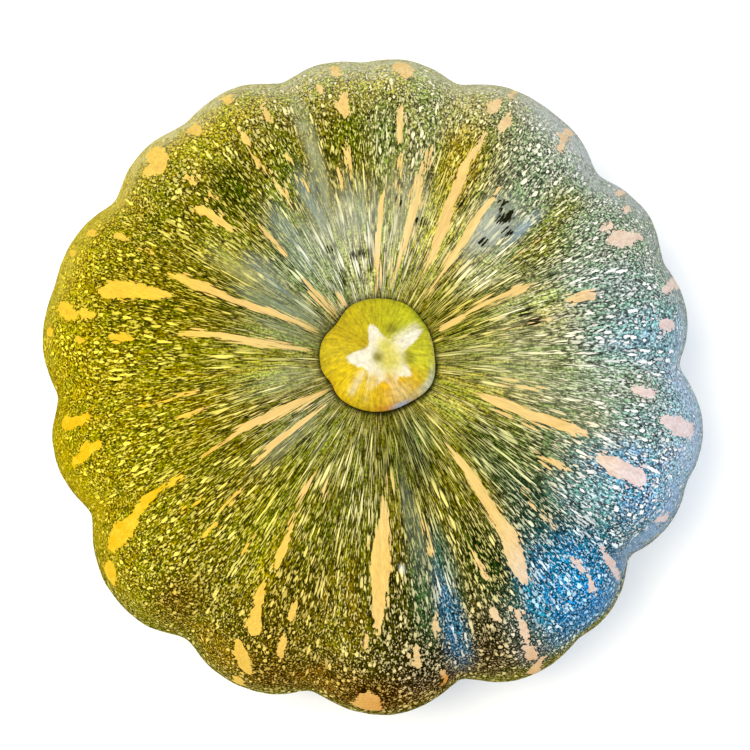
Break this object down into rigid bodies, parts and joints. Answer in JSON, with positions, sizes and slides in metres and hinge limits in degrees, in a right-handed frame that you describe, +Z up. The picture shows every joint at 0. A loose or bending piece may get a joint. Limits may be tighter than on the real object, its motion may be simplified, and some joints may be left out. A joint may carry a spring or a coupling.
{
  "type": "ribbed winter squash, mottled kabocha type",
  "caption": "Whole ribbed winter squash, a flattened globe with mottled skin and a cut corky stem, resting on its base.",
  "frame": {"origin": "under the middle of the squash's box, on the surface it rests on", "axes": "+Z up, out of the stem; -Y towards the rib that faces the viewer; +X to that viewer's right"},
  "size_m": [0.1988, 0.1988, 0.1173],
  "materials": {
    "skin": "hard waxy rind, semi-matt, dark olive green with yellow and cream flecks and streaks",
    "cork": "matt yellow cork with a cream cut face"
  },
  "bodies": {
    "root": {"fruit": "skin", "stem": "cork"}
  },
  "joints": []
}
